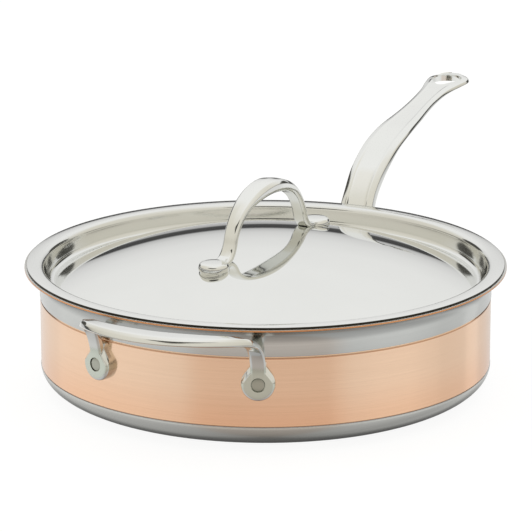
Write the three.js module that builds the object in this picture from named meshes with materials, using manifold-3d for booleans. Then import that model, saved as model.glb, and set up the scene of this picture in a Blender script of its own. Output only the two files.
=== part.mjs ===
// A straight-sided saute pan with a lid. The pan is bonded from five plies, carries a
// long cast handle and a helper handle on rivets, and the lid carries a cast arch.
//
// Millimetres, +Z up. The origin is on the pan's axis at the underside of its base.
// The long handle runs along +X and the helper handle sits opposite it, on -X.

import * as THREE from 'three';
import { mergeVertices } from 'three/addons/utils/BufferGeometryUtils.js';
import Module from 'manifold-3d';

const wasm = await Module();
wasm.setup();

// ---------------------------------------------------------------------------------------
// Driving dimensions
// ---------------------------------------------------------------------------------------

const TURN_FACETS = 36; // flats round every piece turned on the pan's axis
const RIVET_FACETS = 12; // flats round a rivet
const CURVE_STEPS = 12; // steps in the curves of an extruded outline
const GAP = 0.3; // clearance where a fitting lies against a sheet
const FLARE_CLEAR = 4; // how far up the flare a fitting is trimmed to the wall

// Pan body: outer surface
const WALL_RADIUS = 130;
const CORNER_REACH = 25.2; // how far in from the wall the rounded corner starts
const CORNER_HEIGHT = 15; // how high the rounded corner climbs, and the base skin with it
const BAND_BOTTOM = 55.05; // lower edge of the steel band under the rim
const FLARE_BOTTOM = 62; // where the wall starts to turn out into the pouring rim
const RIM_RADIUS = 138.5;
const RIM_UNDERSIDE = 71.5;
const RIM_TOP = 72.6;
const RIM_CREST = 136; // radius where the inner face of the flare turns level

// Plies, as depths in from the outer surface and heights up through the thin lip
const OUTER_DEPTH = 0; // outer steel, only on the base and on the band
const COPPER_DEPTH = 0.3;
const CORE_DEPTH = 1.2;
const LINER_DEPTH = 2.2;
const INNER_DEPTH = 2.8;
const LIP_COPPER = 71.6;
const LIP_LINER = 72.4;

// Lid
const LID_SEAT = 0.1; // air between the lid's flange and the rim
const LID_SHEET = 1.1;
const LID_RADIUS = 137.3;
const LID_TOP = RIM_TOP + LID_SEAT + LID_SHEET;
const DOME_CROWN = 86.5;
const DOME_SQUARE = 0.0014665; // fall of the dome with the square of the radius
const DOME_FOURTH = 1.39e-8; // and with its fourth power
const DOME_RADII = [0, 20, 40, 60, 80, 97, 110]; // where the dome's facets break
const CHANNEL_START = -113.9; // degrees at which the floor's fillet leaves the dome
const CHANNEL = { radius: 3.4, centre: 121.8, height: 65.4 }; // fillet at the recess's floor
const SHOULDER = { radius: 3.5, centre: 130.5 }; // fillet between the recess and the flange
const LID_TURN = -7.3 * Math.PI / 180; // the lid's handle against the long handle

// Lid handle
const LID_PAD = { reach: 57.5, radius: 8.75, base: 76, top: 86, edge: 1.4, facets: 24 };
const LID_SOCKET = 2; // thickness of pad left over a rivet's socket
const LID_RIVET = { shank: 2.2, head: 4.5, height: 1.5, edge: 0.8 };

// Helper handle
const LUG_TURN = 21.25 * Math.PI / 180; // each lug against -X
const LUG_HEIGHT = 40.5;
const LUG_RADIUS = 9.4;
const LUG_FACE = 134.6; // distance of the lug's front from the axis
const LUG_EDGE = 1; // bevel round the lug's face
const LUG_SHOULDER = Math.PI * 0.085; // where the round of the lug gives way to its neck
const LUG_SINK = 1.5; // how far the lug reaches into the wall before it is trimmed to it
const NECK_RISE = 3; // height of the neck above the round of the lug
const NECK_HALF = 4.35;

// Long handle
const PAD_RIVETS = [[0, 29], [-7.5, 45], [7.5, 45]]; // across, up
const PAD_FACE = 134.9;
const HANG_HOLE = { wide: 9.7, wideAt: 301.3, narrow: 4, narrowAt: 291.5 };
const HANG_CUT = { from: 107, depth: 20 }; // heights the hanging hole is cut through

// Wall rivets
const RIVET = {
  shank: 2.4, head: 3.65, headDepth: 1.6, headDrop: 0.4, headEdge: 0.5,
  inner: 4.6, innerFace: 125.7, innerDrop: 0.6, innerEdge: 0.9, sink: 0.3,
};
const RIVET_ROOM = 0.3; // clearance round a shank, and round a sunk head

// How far the drills and seats run past the metal they cut
const DRILL_INSIDE = 12;
const DRILL_OUTSIDE = 4;
const SEAT_INSIDE = 8;
const SEAT_OUTSIDE = 12;
const LID_DRILL = [70, 95];
const UNDER_DOME = 60;
const JOIN = 0.5; // overlap where two turned pieces of one rivet meet
const HEAD_OVERLAP = 0.2; // how far a rivet's inner head stands clear of the liner

// ---------------------------------------------------------------------------------------
// Solids
// ---------------------------------------------------------------------------------------

// A closed geometry as a solid for joining and cutting; collapsed triangles are dropped.
function solid(geometry) {
  const bare = geometry.index ? geometry.toNonIndexed() : geometry.clone();
  bare.deleteAttribute('normal');
  bare.deleteAttribute('uv');
  const merged = mergeVertices(bare, 1e-4);
  const corners = merged.index.array;
  const triVerts = [];
  for (let i = 0; i < corners.length; i += 3) {
    const [a, b, c] = corners.slice(i, i + 3);
    if (a !== b && b !== c && c !== a) {
      triVerts.push(a, b, c);
    }
  }
  const mesh = new wasm.Mesh({
    numProp: 3,
    vertProperties: new Float32Array(merged.attributes.position.array),
    triVerts: new Uint32Array(triVerts),
  });
  return new wasm.Manifold(mesh);
}

function geometryOf(body) {
  const mesh = body.getMesh();
  const geometry = new THREE.BufferGeometry();
  geometry.setAttribute('position', new THREE.BufferAttribute(mesh.vertProperties, 3));
  geometry.setIndex(new THREE.BufferAttribute(mesh.triVerts, 1));
  geometry.computeVertexNormals();
  return geometry;
}

// A closed profile of [radius, height] points, turned about Z.
function turned(profile, facets = TURN_FACETS) {
  const points = profile.map(([radius, height]) => new THREE.Vector2(radius, height));
  const geometry = new THREE.LatheGeometry(points, facets);
  geometry.rotateX(Math.PI / 2);
  return geometry;
}

// A turned solid whose own axis is moved to point outwards from the pan at the given turn.
function pointedOut(geometry, turn, height, across = 0) {
  geometry.rotateY(Math.PI / 2);
  geometry.translate(0, across, height);
  geometry.rotateZ(turn);
  return geometry;
}

function disc(radius, from, to, facets) {
  return turned([[0, from], [radius, from], [radius, to], [0, to]], facets);
}

// Points along a quarter or part of an ellipse, from one angle to another in degrees.
function arc(centreX, centreY, halfX, halfY, fromDegrees, toDegrees, steps) {
  const points = [];
  for (let i = 0; i <= steps; i += 1) {
    const angle = THREE.MathUtils.degToRad(
      THREE.MathUtils.lerp(fromDegrees, toDegrees, i / steps));
    points.push([centreX + halfX * Math.cos(angle), centreY + halfY * Math.sin(angle)]);
  }
  return points;
}

// Drops a point that repeats the one before it.
function withoutRepeats(profile) {
  return profile.filter((point, i) => {
    const before = profile[i - 1];
    return !before || Math.hypot(point[0] - before[0], point[1] - before[1]) > 1e-6;
  });
}

// An outline of 2-D points swept through stations. Each station has a centre, a direction
// for the width, and the width and thickness there; the outline spans -1 to 1 both ways.
function swept(outline, stations) {
  const shape = new THREE.Shape(outline.map(([x, y]) => new THREE.Vector2(x, y)));
  const last = stations.length - 1;
  const geometry = new THREE.ExtrudeGeometry(
    shape, { depth: last, steps: last, bevelEnabled: false });
  const frames = stations.map((station, i) => {
    const ahead = stations[Math.min(i + 1, last)].centre;
    const behind = stations[Math.max(i - 1, 0)].centre;
    const along = ahead.clone().sub(behind).normalize();
    const up = along.clone().cross(station.side).normalize();
    return { ...station, up, side: up.clone().cross(along) };
  });
  const position = geometry.attributes.position;
  for (let i = 0; i < position.count; i += 1) {
    const frame = frames[Math.round(position.getZ(i))];
    const point = frame.centre.clone();
    point.addScaledVector(frame.side, position.getX(i) * frame.width / 2);
    point.addScaledVector(frame.up, position.getY(i) * frame.thick / 2);
    position.setXYZ(i, point.x, point.y, point.z);
  }
  return geometry;
}

// A bar with softened edges, and the long handle's section with its flat top panel.
const BAR_OUTLINE = [
  [0.72, 1], [-0.72, 1], [-1, 0.45], [-1, -0.45],
  [-0.72, -1], [0.72, -1], [1, -0.45], [1, 0.45],
];
const PANEL_OUTLINE = [
  [0.55, 1], [-0.55, 1], [-1, 0.5], [-1, -0.35],
  [-0.65, -1], [0.65, -1], [1, -0.35], [1, 0.5],
];

// ---------------------------------------------------------------------------------------
// Materials
// ---------------------------------------------------------------------------------------

function finish(color, roughness) {
  return new THREE.MeshStandardMaterial({ color, roughness, metalness: 1 });
}

const polishedSteel = () => finish(0xd6d6d2, 0.08);
const satinSteel = () => finish(0xb4b3ac, 0.35);
const copper = () => finish(0xdba27d, 0.25);
const aluminium = () => finish(0xc4c6c8, 0.45);

const group = new THREE.Group();

function addPiece(parent, name, geometry, material) {
  const mesh = new THREE.Mesh(geometry, material);
  mesh.name = name;
  parent.add(mesh);
}

// ---------------------------------------------------------------------------------------
// Pan body: five bonded plies
// ---------------------------------------------------------------------------------------

function baseSkin(depth) {
  const centre = WALL_RADIUS - CORNER_REACH;
  const corner = arc(
    centre, CORNER_HEIGHT, CORNER_REACH - depth, CORNER_HEIGHT - depth, -90, 0, 5);
  return [[0, depth], ...corner];
}

function flareSkin(depth, crest, top) {
  const foot = WALL_RADIUS - depth;
  return arc(crest, FLARE_BOTTOM, foot - crest, top - FLARE_BOTTOM, 0, 90, 4);
}

const outerFlare = flareSkin(OUTER_DEPTH, RIM_RADIUS, RIM_UNDERSIDE);
const copperFlare = flareSkin(COPPER_DEPTH, RIM_RADIUS - COPPER_DEPTH, LIP_COPPER);
const coreFlare = flareSkin(CORE_DEPTH, RIM_CREST, LIP_LINER);
const linerFlare = flareSkin(LINER_DEPTH, RIM_CREST, LIP_LINER);
const innerFlare = flareSkin(INNER_DEPTH, RIM_CREST, RIM_TOP);

function ply(outside, inside) {
  return withoutRepeats([...outside, ...inside.toReversed()]);
}

const copperSkin = [...baseSkin(COPPER_DEPTH), ...copperFlare, [RIM_RADIUS, LIP_COPPER]];
const coreSkin = [...baseSkin(CORE_DEPTH), ...coreFlare];
const linerSkin = [...baseSkin(LINER_DEPTH), ...linerFlare];
const innerSkin = [...baseSkin(INNER_DEPTH), ...innerFlare, [RIM_RADIUS, RIM_TOP]];
const lipLine = [RIM_RADIUS, LIP_LINER];

const baseShell = ply(baseSkin(OUTER_DEPTH), baseSkin(COPPER_DEPTH));
const upperBand = ply(
  [[WALL_RADIUS, BAND_BOTTOM], ...outerFlare],
  [[WALL_RADIUS, BAND_BOTTOM], [WALL_RADIUS - COPPER_DEPTH, BAND_BOTTOM], ...copperFlare,
    [RIM_RADIUS, LIP_COPPER]]);
const copperPly = ply(copperSkin, [...coreSkin, lipLine]);
const corePly = ply(coreSkin, linerSkin);
const linerPly = ply([...linerSkin, lipLine], innerSkin);

// Where the wall rivets go: turn round the axis, height, and distance across.
const HELPER_RIVETS = [Math.PI - LUG_TURN, Math.PI + LUG_TURN].map(
  (turn) => ({ turn, height: LUG_HEIGHT, across: 0, face: LUG_FACE }));
const HANDLE_RIVETS = PAD_RIVETS.map(
  ([across, height]) => ({ turn: 0, height, across, face: PAD_FACE }));
const WALL_RIVETS = [...HANDLE_RIVETS, ...HELPER_RIVETS];
const RIVET_BORE = RIVET.shank + RIVET_ROOM;

function drilled(geometry) {
  let body = solid(geometry);
  for (const { turn, height, across } of WALL_RIVETS) {
    const drill = disc(
      RIVET_BORE, WALL_RADIUS - DRILL_INSIDE, WALL_RADIUS + DRILL_OUTSIDE, RIVET_FACETS);
    body = body.subtract(solid(pointedOut(drill, turn, height, across)));
  }
  return geometryOf(body);
}

addPiece(group, 'inner_steel_liner', drilled(turned(linerPly)), satinSteel());
addPiece(group, 'aluminium_core', drilled(turned(corePly)), aluminium());
addPiece(group, 'copper_ply', drilled(turned(copperPly)), copper());
addPiece(group, 'upper_steel_band', turned(upperBand), satinSteel());
addPiece(group, 'base_steel_shell', turned(baseShell), satinSteel());

// ---------------------------------------------------------------------------------------
// Wall rivets: a head sunk in the handle's pad, a shank, and a low head inside the pan
// ---------------------------------------------------------------------------------------

const boreInside = solid(disc(WALL_RADIUS - INNER_DEPTH - HEAD_OVERLAP, 0, RIM_TOP));

function wallRivet({ turn, height, across, face }) {
  const headTop = face - RIVET.sink;
  const headBase = headTop - RIVET.headDepth;
  const start = RIVET.innerFace + JOIN;
  const shank = turned([
    [0, start], [RIVET.shank, start], [RIVET.shank, headBase], [RIVET.head, headBase],
    [RIVET.head, headTop - RIVET.headDrop], [RIVET.head - RIVET.headEdge, headTop], [0, headTop],
  ], RIVET_FACETS);
  const innerHead = turned([
    [0, RIVET.innerFace], [RIVET.inner - RIVET.innerEdge, RIVET.innerFace],
    [RIVET.inner, RIVET.innerFace + RIVET.innerDrop], [RIVET.inner, WALL_RADIUS],
    [0, WALL_RADIUS],
  ], RIVET_FACETS);
  const head = solid(pointedOut(innerHead, turn, height, across)).intersect(boreInside);
  return geometryOf(solid(pointedOut(shank, turn, height, across)).add(head));
}

// Takes the sheet of the wall, the rivet holes and the sunk seats out of a fitting.
const wallInside = solid(disc(WALL_RADIUS + GAP, 0, FLARE_BOTTOM + FLARE_CLEAR));

function fittedToWall(body, rivets) {
  let fitted = body.subtract(wallInside);
  for (const { turn, height, across, face } of rivets) {
    const inside = WALL_RADIUS - SEAT_INSIDE;
    const outside = face + SEAT_OUTSIDE;
    const floor = face - RIVET.sink - RIVET.headDepth - RIVET_ROOM;
    const seat = turned([
      [0, inside], [RIVET_BORE, inside], [RIVET_BORE, floor], [RIVET.head + RIVET_ROOM, floor],
      [RIVET.head + RIVET_ROOM, outside], [0, outside],
    ], RIVET_FACETS);
    fitted = fitted.subtract(solid(pointedOut(seat, turn, height, across)));
  }
  return fitted;
}

// ---------------------------------------------------------------------------------------
// Long handle
// ---------------------------------------------------------------------------------------

// [distance from the axis, height, width, thickness] along the middle of the casting
const HANDLE_SPINE = [
  [132.4, 20.5, 9, 5], [132.4, 22.5, 17, 5], [132.4, 27, 23, 5], [132.4, 34, 26.5, 5],
  [132.6, 44, 27, 5.2], [133.4, 52, 25.5, 5.8], [137.3, 61, 23.5, 7.5],
  [143.8, 70.5, 22, 9], [150.5, 79, 21.5, 9.5], [160.5, 88, 22.8, 8.5],
  [172.8, 95, 23.5, 6.6], [185, 100.2, 23.7, 5.4], [199.2, 103.9, 23.5, 4.8],
  [212.3, 106.3, 22.4, 4.6], [227, 108.1, 20.3, 4.6], [241.2, 110.1, 18.1, 4.6],
  [257.3, 112.5, 16.9, 4.6], [276, 115, 18.4, 4.6], [289.8, 116.4, 23.4, 4.4],
  [299, 117, 26.6, 4.2], [304.5, 117.3, 27.6, 4.2], [309, 117.5, 26, 4.2],
  [313, 117.7, 20.5, 4.2], [315.4, 117.8, 12, 4.2], [316.2, 117.85, 5, 4.2],
];

function hangHole() {
  const { wide, wideAt, narrow, narrowAt } = HANG_HOLE;
  const tangent = Math.PI - Math.acos((wide - narrow) / (wideAt - narrowAt));
  const shape = new THREE.Shape();
  shape.absarc(wideAt, 0, wide, -tangent, tangent, false);
  shape.absarc(narrowAt, 0, narrow, tangent, 2 * Math.PI - tangent, false);
  shape.closePath();
  const geometry = new THREE.ExtrudeGeometry(
    shape, { depth: HANG_CUT.depth, bevelEnabled: false, curveSegments: CURVE_STEPS });
  geometry.translate(0, 0, HANG_CUT.from);
  return geometry;
}

function longHandle() {
  const stations = HANDLE_SPINE.map(([reach, height, width, thick]) => ({
    centre: new THREE.Vector3(reach, 0, height), side: new THREE.Vector3(0, 1, 0), width, thick,
  }));
  const casting = solid(swept(PANEL_OUTLINE, stations)).subtract(solid(hangHole()));
  return geometryOf(fittedToWall(casting, HANDLE_RIVETS));
}

addPiece(group, 'long_handle', longHandle(), polishedSteel());
HANDLE_RIVETS.forEach((rivet, i) => {
  addPiece(group, `long_handle_rivet_${i + 1}`, wallRivet(rivet), satinSteel());
});

// ---------------------------------------------------------------------------------------
// Helper handle
// ---------------------------------------------------------------------------------------

// One half of the loop, from the middle of the bar to the lug: [x, y, z], the sideways
// direction there, and the width
const LOOP_HALF = [
  [-159, 0, 71.2, -1, 0, 14], [-158, 13, 71.2, -1, 0.1, 13.6],
  [-155.3, 25, 71.1, -0.97, 0.25, 12], [-150.8, 35.5, 70.7, -0.85, 0.5, 10],
  [-145, 43.3, 69.8, -0.6, 0.8, 9], [-138.2, 47.8, 67.6, -0.2, 0.98, 8.7],
  [-131.2, 49.6, 63.2, 0.15, 0.98, 8.7], [-126.6, 49.1, 57, 0.33, 0.94, 8.7],
  [-124.7, 48.5, 50, 0.36, 0.93, 8.7], [-124.5, 48.4, 43, 0.36, 0.93, 8.7],
];
const LOOP_THICK = 4.4;

function lug(turn) {
  const shape = new THREE.Shape();
  shape.moveTo(NECK_HALF, LUG_RADIUS + NECK_RISE);
  shape.absarc(0, 0, LUG_RADIUS, LUG_SHOULDER, Math.PI - LUG_SHOULDER, true);
  shape.lineTo(-NECK_HALF, LUG_RADIUS + NECK_RISE);
  shape.closePath();
  const depth = LUG_FACE - WALL_RADIUS + LUG_SINK;
  const geometry = new THREE.ExtrudeGeometry(shape, {
    depth: depth - LUG_EDGE, bevelEnabled: true, bevelThickness: LUG_EDGE, bevelSize: LUG_EDGE,
    bevelOffset: -LUG_EDGE, bevelSegments: 1, curveSegments: CURVE_STEPS,
  });
  geometry.rotateY(Math.PI / 2);
  geometry.rotateX(Math.PI / 2);
  geometry.translate(LUG_FACE - depth, 0, LUG_HEIGHT);
  geometry.rotateZ(turn);
  return geometry;
}

function helperHandle() {
  const half = LOOP_HALF.map(([x, y, z, sideX, sideY, width]) => ({
    centre: new THREE.Vector3(x, y, z), side: new THREE.Vector3(sideX, sideY, 0),
    width, thick: LOOP_THICK,
  }));
  const otherHalf = half.slice(1).toReversed().map((station) => ({
    ...station,
    centre: station.centre.clone().setY(-station.centre.y),
    side: station.side.clone().setY(-station.side.y),
  }));
  let body = solid(swept(BAR_OUTLINE, [...otherHalf, ...half]));
  for (const { turn } of HELPER_RIVETS) {
    body = body.add(solid(lug(turn)));
  }
  return geometryOf(fittedToWall(body, HELPER_RIVETS));
}

addPiece(group, 'helper_handle', helperHandle(), polishedSteel());
HELPER_RIVETS.forEach((rivet, i) => {
  addPiece(group, `helper_handle_rivet_${i + 1}`, wallRivet(rivet), satinSteel());
});

// ---------------------------------------------------------------------------------------
// Lid: one pressed sheet, with a flange on the rim, a recess, and a dome
// ---------------------------------------------------------------------------------------

function domeHeight(radius) {
  return DOME_CROWN - DOME_SQUARE * radius ** 2 - DOME_FOURTH * radius ** 4;
}

function lidSkin(depth) {
  const dome = DOME_RADII.map((radius) => [radius, domeHeight(radius) - depth]);
  const reach = CHANNEL.radius + depth;
  const channel = arc(CHANNEL.centre, CHANNEL.height, reach, reach, CHANNEL_START, 0, 4);
  const bend = SHOULDER.radius - depth;
  const shoulder = arc(
    SHOULDER.centre, LID_TOP - SHOULDER.radius, bend, bend, 180, 90, 3);
  return [...dome, ...channel, ...shoulder, [LID_RADIUS, LID_TOP - depth]];
}

const LID_BORE = LID_RIVET.shank + RIVET_ROOM;

function lidShell() {
  let body = solid(turned(ply(lidSkin(LID_SHEET), lidSkin(0))));
  for (const end of [-1, 1]) {
    const drill = disc(LID_BORE, ...LID_DRILL, RIVET_FACETS);
    drill.translate(end * LID_PAD.reach, 0, 0);
    drill.rotateZ(LID_TURN);
    body = body.subtract(solid(drill));
  }
  return geometryOf(body);
}

// Everything below a surface that follows the dome, raised or lowered by an offset.
function underDome(offset) {
  const dome = DOME_RADII.map((radius) => [radius, domeHeight(radius) + offset]);
  return solid(turned([[0, UNDER_DOME], [DOME_RADII.at(-1), UNDER_DOME], ...dome.toReversed()]));
}

// Half of the arch, from its crown down to the foot: [along, height, width, thickness]
const ARCH_HALF = [
  [0, 117.4, 14.6, 7.6], [11, 116.4, 14, 7], [20.5, 113.5, 12.4, 5.8],
  [28.5, 109.2, 10.4, 4.9], [34.3, 103.6, 9.2, 4.4], [38.4, 97, 8.7, 4.2],
  [40.4, 90.8, 8.7, 4.2], [43.3, 86.4, 9.2, 4.2], [48.5, 84, 10.6, 4],
  [55, 83.4, 11, 3.6],
];

function lidHandle() {
  const half = ARCH_HALF.map(([along, height, width, thick]) => ({
    centre: new THREE.Vector3(along, 0, height), side: new THREE.Vector3(0, 1, 0), width, thick,
  }));
  const otherHalf = half.slice(1).toReversed().map((station) => ({
    ...station, centre: station.centre.clone().setX(-station.centre.x),
  }));
  let body = solid(swept(BAR_OUTLINE, [...otherHalf, ...half]));
  for (const end of [-1, 1]) {
    const { reach, radius, base, top, edge, facets } = LID_PAD;
    const pad = turned([
      [0, base], [radius, base], [radius, top - edge], [radius - edge, top], [0, top],
    ], facets);
    const socket = disc(LID_BORE, base, top - LID_SOCKET, RIVET_FACETS);
    body = body.add(solid(pad.translate(end * reach, 0, 0)));
    body = body.subtract(solid(socket.translate(end * reach, 0, 0)));
  }
  body = body.subtract(underDomeTurned(GAP));
  return geometryOf(body);
}

// The dome's facets, seen from the frame of the turned lid handle.
function underDomeTurned(offset) {
  return underDome(offset).rotate([0, 0, THREE.MathUtils.radToDeg(-LID_TURN)]);
}

function lidRivet(end) {
  const sheet = domeHeight(LID_PAD.reach) - LID_SHEET;
  const { shank, head, height, edge } = LID_RIVET;
  const bottom = sheet - height;
  const top = sheet + head;
  const shape = turned([
    [0, bottom], [head - edge, bottom], [head, bottom + edge], [head, top], [0, top],
  ], RIVET_FACETS);
  const stem = disc(shank, sheet - 2 * JOIN, LID_PAD.top - LID_SOCKET - RIVET_ROOM, RIVET_FACETS);
  const low = solid(shape.translate(end * LID_PAD.reach, 0, 0));
  const body = low.intersect(underDomeTurned(-LID_SHEET - GAP));
  return geometryOf(body.add(solid(stem.translate(end * LID_PAD.reach, 0, 0))));
}

addPiece(group, 'lid_shell', lidShell(), polishedSteel());
const lidFittings = new THREE.Group();
lidFittings.rotation.z = LID_TURN;
group.add(lidFittings);
addPiece(lidFittings, 'lid_handle', lidHandle(), polishedSteel());
addPiece(lidFittings, 'lid_handle_rivet_1', lidRivet(-1), satinSteel());
addPiece(lidFittings, 'lid_handle_rivet_2', lidRivet(1), satinSteel());

export default group;
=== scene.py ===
from math import acos, asin, atan2, cos, degrees, hypot, pi, radians, sin, tau

import bmesh
import bpy
from mathutils import Matrix, Vector


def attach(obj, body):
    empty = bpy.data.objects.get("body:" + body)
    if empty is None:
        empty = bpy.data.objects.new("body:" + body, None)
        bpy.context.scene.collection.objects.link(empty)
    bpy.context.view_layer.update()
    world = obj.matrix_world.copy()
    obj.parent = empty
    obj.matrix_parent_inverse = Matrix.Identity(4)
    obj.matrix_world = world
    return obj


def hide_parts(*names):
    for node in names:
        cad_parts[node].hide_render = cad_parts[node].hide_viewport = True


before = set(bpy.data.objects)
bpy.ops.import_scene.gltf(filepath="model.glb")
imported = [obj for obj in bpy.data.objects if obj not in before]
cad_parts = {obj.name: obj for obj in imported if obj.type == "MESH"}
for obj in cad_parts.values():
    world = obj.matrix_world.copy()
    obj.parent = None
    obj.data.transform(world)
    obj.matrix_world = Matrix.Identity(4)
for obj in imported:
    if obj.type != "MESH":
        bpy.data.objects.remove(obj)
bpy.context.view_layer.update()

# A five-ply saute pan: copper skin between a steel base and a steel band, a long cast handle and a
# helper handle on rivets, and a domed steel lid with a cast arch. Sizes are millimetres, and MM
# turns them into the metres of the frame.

MM = 0.001
TURNS = 144  # flats round a piece turned on the pan's axis
RIVET_TURNS = 40  # flats round a rivet
SHARP, CAST_SHARP, LID_SHARP = 35, 30, 40  # degrees: a sharper edge is shaded as an edge
WELD = 0.002  # corners nearer than this become one

# Pan body, outer surface
WALL_RADIUS = 130
CORNER_REACH = 25.2
CORNER_HEIGHT = 15
BAND_BOTTOM = 55.05
FLARE_BOTTOM = 62
RIM_RADIUS = 138.5
RIM_UNDERSIDE = 71.5
RIM_TOP = 72.6
RIM_CREST = 136
EDGE_ROLL, EDGE_EASE = 0.35, 0.1  # the rolled edges of base and band
LIP_EASE = 0.05

# Plies, as depths in from the outer surface
COPPER_DEPTH = 0.3
CORE_DEPTH = 1.2
LINER_DEPTH = 2.2
INNER_DEPTH = 2.8
SKIN_GAP = 0.05  # left between the copper and the steel over it
PLY_GAP = 0.02  # and between the other plies
LIP_COPPER = 71.55
LIP_LINER = 72.45
COPPER_CREST = RIM_RADIUS - 0.3
COPPER_FOOT = WALL_RADIUS - 0.4  # the copper's lower edge, its face, and its edge under the band
COPPER_FACE = WALL_RADIUS - 0.2
COPPER_TUCK = WALL_RADIUS - 0.55

# Lid
LID_SHEET = 1.1
LID_RADIUS = 137.3
LID_TOP = RIM_TOP + 0.1 + LID_SHEET
LID_TURN = radians(-7.3)
LID_TURNS = 192
DOME_CROWN, DOME_FALL, DOME_CURL = 86.5, 0.0014665, 1.39e-8
DOME_STEP, DOME_RINGS, DOME_EDGE = 3, 37, 110.2
CHANNEL_RADIUS, CHANNEL_AT, CHANNEL_HEIGHT = 3.4, 121.8, 65.4
SHOULDER_RADIUS, SHOULDER_AT = 3.5, 130.5
CHANNEL_END = -113.9  # degrees, where the channel's fillet meets the dome
FOOT_REACH, FOOT_RADIUS, FOOT_TOP = 57.5, 8.75, 86
FOOT_BOTTOM, FOOT_TURNS = 76, 72  # before its underside is cut to the dome
FOOT_SINK = 0.3
LID_RIVET_HEAD, LID_RIVET_STEM = 4.5, 2.2

# Helper handle's lugs and the long handle's pad
LUG_TURN = radians(21.25)
LUG_HEIGHT = 40.5
LUG_RADIUS = 9.4
LUG_FACE = 134.6
LUG_ROUND = 2.1  # rounding of the lug's front edge
LUG_CHEEK = 7.0  # distance from the lug's middle to where its chamfers start
CHEEK_SLOPE = 0.9  # and how far they lean out
HIP_ACROSS, HIP_UP = 0.8, 0.6  # the way the hips face
NECK_HALF, NECK_END = 4.35, 12
LUG_SINK = 0.8
PAD_RIVETS = ((0, 29), (-7.5, 45), (7.5, 45))  # across, up
PAD_FACE = 134.9
RIVET_SHANK, RIVET_HEAD, RIVET_SINK = 2.4, 3.65, 0.3
RIVET_INNER, RIVET_INNER_FACE = 4.6, 125.7
RIVET_BITE = 0.4  # how far the inner head is let into the liner
RIVET_ROOM = 0.35
SEAT_BELOW, SEAT_ABOVE = 2, 8  # reach of a seat's cutter on each side of the face
HOLE_WIDE, HOLE_WIDE_AT, HOLE_NARROW, HOLE_NARROW_AT = 9.7, 301.3, 4, 291.5
HOLE_CUT_FROM, HOLE_CUT_RISE = 108, 20
PANEL_END, PANEL_SUNK = 286, 0.46  # where the handle's sunk panel runs out, and its depth
PANEL_FLOOR = range(3, 9)  # the corners of the rounded section that make the panel's floor


# ---------------------------------------------------------------------------------------------
# Bench work: selecting, drawing an outline, spinning it, drawing a bar out through stations
# ---------------------------------------------------------------------------------------------

def clear_selection():
    bpy.ops.object.select_all(action="DESELECT")


def take_up(piece, edit=False):
    """Makes a piece the only one selected and active, in object mode or in edit mode."""
    if piece.mode == "EDIT":
        bpy.ops.object.mode_set(mode="OBJECT")
    clear_selection()
    piece.select_set(True)
    bpy.context.view_layer.objects.active = piece
    if edit:
        bpy.ops.object.mode_set(mode="EDIT")


def start_piece(name):
    """A new object in edit mode: a plane merged to one vertex at the origin."""
    clear_selection()
    bpy.ops.mesh.primitive_plane_add(size=MM, location=(0, 0, 0))
    piece = bpy.context.object
    piece.name = name
    piece.data.name = name
    bpy.ops.object.mode_set(mode="EDIT")
    bpy.ops.mesh.select_mode(type="VERT")
    bpy.ops.mesh.select_all(action="SELECT")
    bpy.ops.mesh.merge(type="CENTER")
    return piece


def select_vertices(piece, wanted):
    """Selects the vertices that a test picks, by index and place."""
    mesh = bmesh.from_edit_mesh(piece.data)
    mesh.verts.ensure_lookup_table()
    for face in mesh.faces:
        face.select = False
    for edge in mesh.edges:
        edge.select = False
    for vertex in mesh.verts:
        vertex.select = wanted(vertex)
    mesh.select_flush(True)
    bmesh.update_edit_mesh(piece.data)


def move(step):
    bpy.ops.transform.translate(value=step)


def extrude(step):
    bpy.ops.mesh.extrude_region_move(TRANSFORM_OT_translate={"value": step})


def draw_outline(points, closed):
    """Extrudes the one selected vertex from point to point; points are (x, y, z) in metres."""
    points = [Vector(point) for point in points]
    move(points[0])
    for before, point in zip(points, points[1:]):
        extrude(point - before)
    bpy.ops.mesh.select_all(action="SELECT")
    if closed:
        select_vertices(bpy.context.object, lambda v: v.index in (0, len(points) - 1))
        bpy.ops.mesh.edge_face_add()
        bpy.ops.mesh.select_all(action="SELECT")


def close_up():
    """Merges seams and poles, then points all faces outwards."""
    bpy.ops.mesh.select_all(action="SELECT")
    bpy.ops.mesh.remove_doubles(threshold=WELD * MM)
    bpy.ops.mesh.normals_make_consistent(inside=False)


def finish_piece(piece, sharp=SHARP):
    """Leaves edit mode and shades the piece smooth between edges sharper than an angle."""
    take_up(piece)
    bpy.ops.object.shade_smooth_by_angle(angle=radians(sharp), keep_sharp_edges=False)
    clear_selection()
    return piece


def apply_modifiers(piece):
    take_up(piece)
    for modifier in list(piece.modifiers):
        bpy.ops.object.modifier_apply(modifier=modifier.name)


def spun(name, profile, turns=TURNS, sharp=SHARP):
    """A closed profile of (radius, height) in millimetres, spun about Z."""
    piece = start_piece(name)
    on_axis = profile[0][0] == 0 and profile[-1][0] == 0
    draw_outline([(radius * MM, 0, height * MM) for radius, height in profile], not on_axis)
    bpy.ops.mesh.spin(
        steps=turns, angle=tau, center=(0, 0, 0), axis=(0, 0, 1), use_auto_merge=True)
    close_up()
    return finish_piece(piece, sharp)


def turn_about(angle, axis, centre=(0, 0, 0)):
    """Turns the selection counter-clockwise seen from the axis's far end."""
    bpy.ops.transform.rotate(
        value=-angle, orient_axis=axis, orient_type="GLOBAL", center_override=centre)


def smooth(piece):
    """Subdivides a drawn bar once into round curves."""
    smoother = piece.modifiers.new("smoother", "SUBSURF")
    smoother.levels = smoother.render_levels = 1
    apply_modifiers(piece)


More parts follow.
